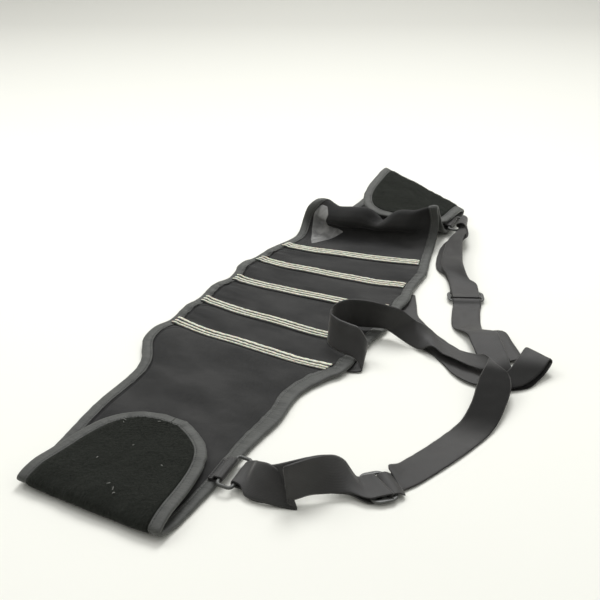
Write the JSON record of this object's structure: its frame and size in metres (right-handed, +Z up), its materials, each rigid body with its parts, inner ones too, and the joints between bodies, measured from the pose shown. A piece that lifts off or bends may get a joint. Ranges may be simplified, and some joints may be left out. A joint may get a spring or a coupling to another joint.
{
  "type": "lumbosacral brace",
  "caption": "Wide fabric back-support belt laid inner side up, front ends folded over, with grip tapes across the back panel and elastic shoulder straps on rings and sliders.",
  "frame": {"origin": "middle of the back panel's underside, on the surface the brace lies on", "axes": "+Y along the belt from the near tab to the far tab, +X across the belt towards the strap side (its upper edge), +Z up, inner side of the belt up"},
  "size_m": [0.4523, 0.8899, 0.0607],
  "materials": {
    "belt_fabric": "black woven elastic fabric, slight sheen",
    "binding_tape": "black knitted edge tape, slight sheen",
    "closure_pile": "matt black brushed loop pile",
    "grip_bead": "cream rubber beads on black tape",
    "webbing": "black ribbed elastic webbing",
    "plastic": "satin black moulded plastic"
  },
  "bodies": {
    "root": {"back_panel": "belt_fabric", "near_wing": "belt_fabric", "far_wing": "belt_fabric", "lower_binding": "binding_tape", "upper_binding": "binding_tape", "near_pile": "closure_pile", "far_pile": "closure_pile", "grip_tape_1": "grip_bead", "grip_tape_2": "grip_bead", "grip_tape_3": "grip_bead", "grip_tape_4": "grip_bead", "grip_tape_5": "grip_bead", "near_strap": "webbing", "far_strap": "webbing", "near_ring_tab": "webbing", "far_ring_tab": "webbing", "near_ring": "plastic", "far_ring": "plastic", "near_slider": "plastic", "far_slider": "plastic"}
  },
  "joints": []
}
